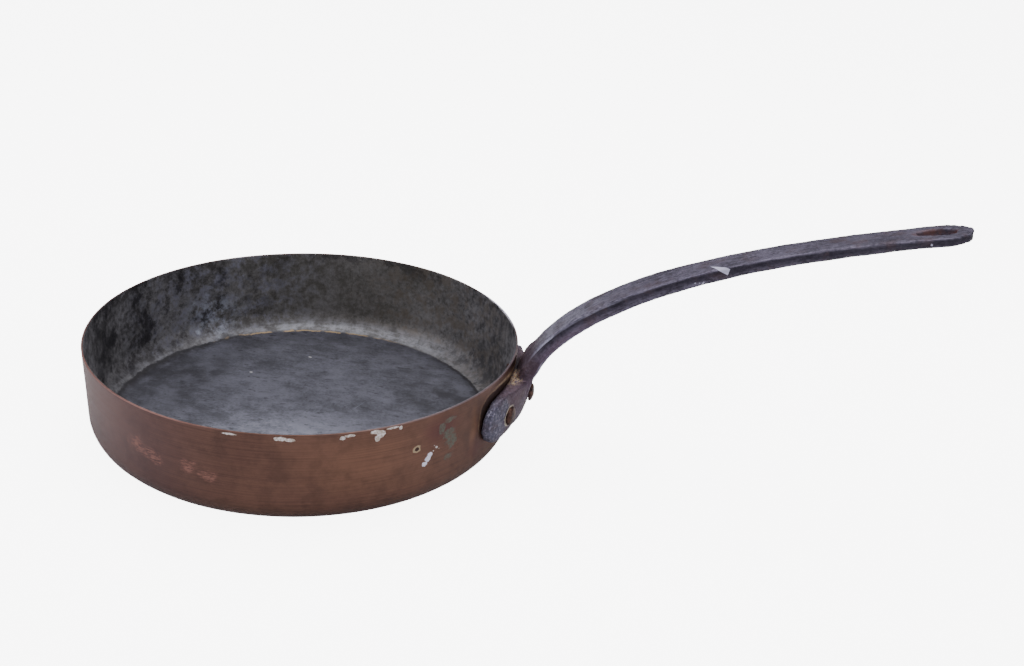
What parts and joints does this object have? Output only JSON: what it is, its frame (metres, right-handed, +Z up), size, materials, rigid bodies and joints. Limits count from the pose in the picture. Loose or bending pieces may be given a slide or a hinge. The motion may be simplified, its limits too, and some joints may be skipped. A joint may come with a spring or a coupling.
{
  "type": "copper saucepan",
  "caption": "Shallow tin-lined copper saucepan with a long arched wrought-iron handle, riveted on by a lobed plate and ending in a hanging eye.",
  "frame": {"origin": "centre of the flat base's underside, on the pan's own axis", "axes": "+Z up along the pan's axis, +X from that axis out along the handle, +Y to the left of the handle"},
  "size_m": [0.5042, 0.26, 0.1692],
  "materials": {
    "copper": "brown patinated copper, finely brushed round the wall, with scratches and small pale chips",
    "tin": "old wiped tin, streaky dull grey with dark stains, worn to a tan line at the floor's edge",
    "iron": "forged iron, pitted and drawn along the bar, dark purple grey with some rust",
    "rivet_copper": "dull brown copper, peened domes"
  },
  "bodies": {
    "root": {"pan_body": "copper", "tin_lining": "tin", "handle": "iron", "rivet_front": "rivet_copper", "rivet_centre": "rivet_copper", "rivet_rear": "rivet_copper"}
  },
  "joints": []
}
